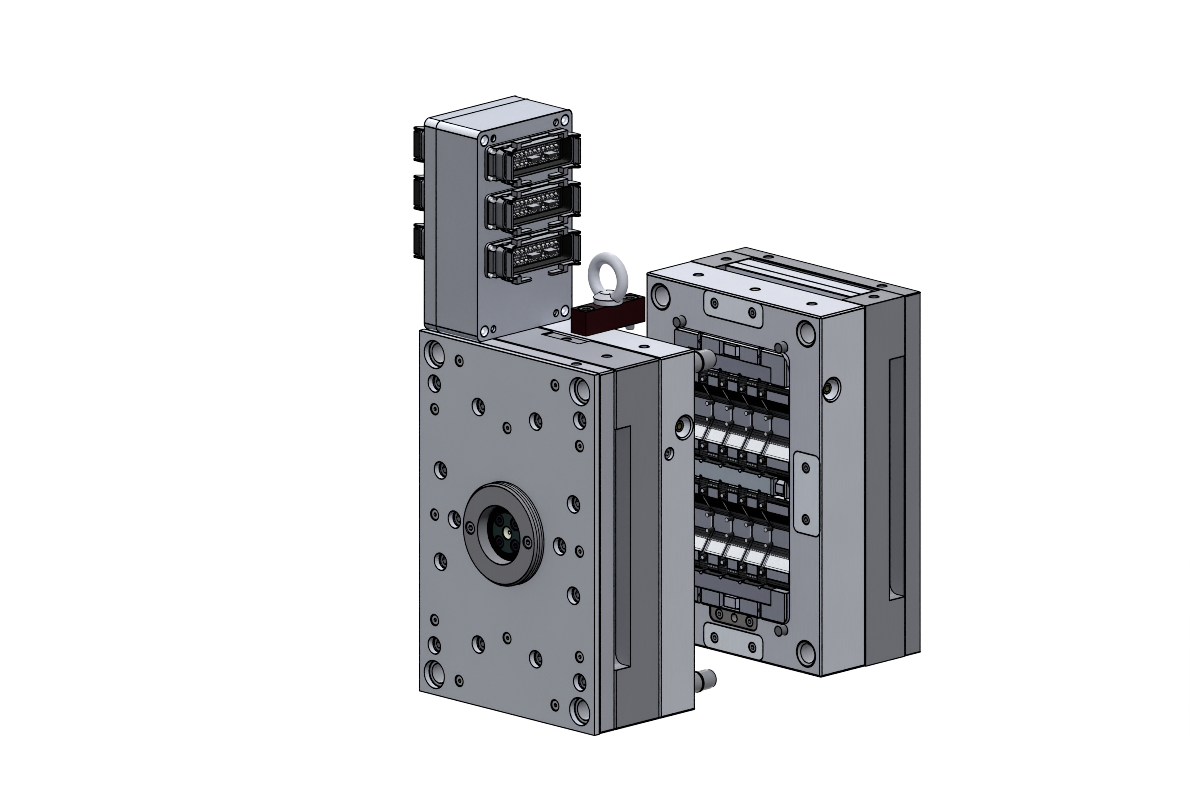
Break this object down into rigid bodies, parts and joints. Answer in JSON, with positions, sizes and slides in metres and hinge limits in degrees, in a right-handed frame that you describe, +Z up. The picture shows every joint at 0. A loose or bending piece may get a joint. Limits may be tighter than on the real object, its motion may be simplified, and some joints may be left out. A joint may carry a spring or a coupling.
{
  "type": "injection mould",
  "caption": "Multi-cavity hot-runner injection mould, standing open: fixed and moving halves on guide pillars, ejector plates, junction box with levered connectors and a lifting bar.",
  "frame": {"origin": "centre of the fixed clamping face, on the machine axis", "axes": "+Y is the opening direction, +Z is up, +X is the side with the cooling ports"},
  "size_m": [0.3335, 0.566, 0.706],
  "materials": {
    "insulation_board": "pressed insulation board, matt grey",
    "plate_steel": "ground tool steel, satin",
    "frame_steel": "darker ground tool steel",
    "cavity_steel": "bright ground tool steel",
    "insert_steel": "hardened steel, fine ground",
    "bar_steel": "hardened steel, dull",
    "pad_steel": "light ground steel",
    "key_steel": "brown-grey steel",
    "bright_steel": "polished hardened steel",
    "screw_steel": "dull screw steel",
    "dark_screws": "blackened steel",
    "ring_steel": "dark grey turned steel",
    "inlet_steel": "blackened steel with a teal tint",
    "seat_steel": "pale nozzle seat",
    "runner_steel": "heat-darkened steel",
    "box_grey": "grey paint, satin",
    "connector_black": "dark grey coating",
    "contact_grey": "grey insulating body with pins",
    "lifting_red": "dark maroon paint",
    "plug_olive": "dark olive brass"
  },
  "bodies": {
    "fixed_half": {"insulation_plate": "insulation_board", "insulation_screws": "screw_steel", "fixed_clamp_plate": "plate_steel", "clamp_screws": "screw_steel", "locating_ring": "ring_steel", "ring_screws": "dark_screws", "inlet_bush": "inlet_steel", "nozzle_seat": "seat_steel", "manifold_plate": "frame_steel", "hot_runner_manifold": "runner_steel", "manifold_pads": "screw_steel", "hot_nozzles": "runner_steel", "wire_channel_cover": "frame_steel", "cavity_plate": "cavity_steel", "cavity_insert": "insert_steel", "cavity_insert_screws": "screw_steel", "guide_pillars": "bright_steel", "centring_sleeves": "bright_steel", "water_plug_fixed": "plug_olive", "junction_box": "box_grey", "junction_box_lid": "box_grey", "box_screws": "screw_steel", "connector_housings": "connector_black", "contact_inserts": "contact_grey", "lifting_bar": "lifting_red", "lifting_bar_screws": "screw_steel", "eye_bolt": "bright_steel"},
    "moving_half": {"core_plate": "cavity_steel", "guide_bushes": "bright_steel", "dowel_sleeves": "bright_steel", "core_insert": "insert_steel", "cavity_cores": "insert_steel", "parting_bars": "bar_steel", "taper_locks": "pad_steel", "parting_pads": "pad_steel", "key_plate": "key_steel", "core_face_screws": "screw_steel", "water_plug_moving": "plug_olive", "left_riser": "frame_steel", "right_riser": "frame_steel", "moving_clamp_plate": "plate_steel", "moving_screws": "screw_steel", "support_pillars": "bright_steel"},
    "ejector_set": {"ejector_retainer_plate": "cavity_steel", "ejector_plate": "cavity_steel", "ejector_pins": "bright_steel", "return_pins": "bright_steel", "ejector_screws": "screw_steel"},
    "lever_right_top_near": {"lever_right_top_near": "connector_black"},
    "lever_right_top_far": {"lever_right_top_far": "connector_black"},
    "lever_right_mid_near": {"lever_right_mid_near": "connector_black"},
    "lever_right_mid_far": {"lever_right_mid_far": "connector_black"},
    "lever_right_low_near": {"lever_right_low_near": "connector_black"},
    "lever_right_low_far": {"lever_right_low_far": "connector_black"},
    "lever_left_top_near": {"lever_left_top_near": "connector_black"},
    "lever_left_top_far": {"lever_left_top_far": "connector_black"},
    "lever_left_mid_near": {"lever_left_mid_near": "connector_black"},
    "lever_left_mid_far": {"lever_left_mid_far": "connector_black"},
    "lever_left_low_near": {"lever_left_low_near": "connector_black"},
    "lever_left_low_far": {"lever_left_low_far": "connector_black"}
  },
  "joints": [
    {"name": "mould_opening", "type": "slide", "parent": "fixed_half", "child": "moving_half", "axis": [0, 1, 0], "range_m": [-0.2119, 0.088]},
    {"name": "ejector_stroke", "type": "slide", "parent": "moving_half", "child": "ejector_set", "axis": [0, -1, 0], "range_m": [-0.01, 0.0165]},
    {"name": "lever_right_top_near_hinge", "type": "hinge", "parent": "fixed_half", "child": "lever_right_top_near", "pos_m": [-0.04, 0.0365, 0.442], "axis": [0, 0, -1], "range_deg": [-15, 70]},
    {"name": "lever_right_top_far_hinge", "type": "hinge", "parent": "fixed_half", "child": "lever_right_top_far", "pos_m": [-0.04, 0.1365, 0.442], "axis": [0, 0, 1], "range_deg": [-15, 70]},
    {"name": "lever_right_mid_near_hinge", "type": "hinge", "parent": "fixed_half", "child": "lever_right_mid_near", "pos_m": [-0.04, 0.0365, 0.382], "axis": [0, 0, -1], "range_deg": [-15, 70]},
    {"name": "lever_right_mid_far_hinge", "type": "hinge", "parent": "fixed_half", "child": "lever_right_mid_far", "pos_m": [-0.04, 0.1365, 0.382], "axis": [0, 0, 1], "range_deg": [-15, 70]},
    {"name": "lever_right_low_near_hinge", "type": "hinge", "parent": "fixed_half", "child": "lever_right_low_near", "pos_m": [-0.04, 0.0365, 0.322], "axis": [0, 0, -1], "range_deg": [-15, 70]},
    {"name": "lever_right_low_far_hinge", "type": "hinge", "parent": "fixed_half", "child": "lever_right_low_far", "pos_m": [-0.04, 0.1365, 0.322], "axis": [0, 0, 1], "range_deg": [-15, 70]},
    {"name": "lever_left_top_near_hinge", "type": "hinge", "parent": "fixed_half", "child": "lever_left_top_near", "pos_m": [-0.166, 0.0365, 0.442], "axis": [0, 0, 1], "range_deg": [-15, 70]},
    {"name": "lever_left_top_far_hinge", "type": "hinge", "parent": "fixed_half", "child": "lever_left_top_far", "pos_m": [-0.166, 0.1365, 0.442], "axis": [0, 0, -1], "range_deg": [-15, 70]},
    {"name": "lever_left_mid_near_hinge", "type": "hinge", "parent": "fixed_half", "child": "lever_left_mid_near", "pos_m": [-0.166, 0.0365, 0.382], "axis": [0, 0, 1], "range_deg": [-15, 70]},
    {"name": "lever_left_mid_far_hinge", "type": "hinge", "parent": "fixed_half", "child": "lever_left_mid_far", "pos_m": [-0.166, 0.1365, 0.382], "axis": [0, 0, -1], "range_deg": [-15, 70]},
    {"name": "lever_left_low_near_hinge", "type": "hinge", "parent": "fixed_half", "child": "lever_left_low_near", "pos_m": [-0.166, 0.0365, 0.322], "axis": [0, 0, 1], "range_deg": [-15, 70]},
    {"name": "lever_left_low_far_hinge", "type": "hinge", "parent": "fixed_half", "child": "lever_left_low_far", "pos_m": [-0.166, 0.1365, 0.322], "axis": [0, 0, -1], "range_deg": [-15, 70]}
  ]
}
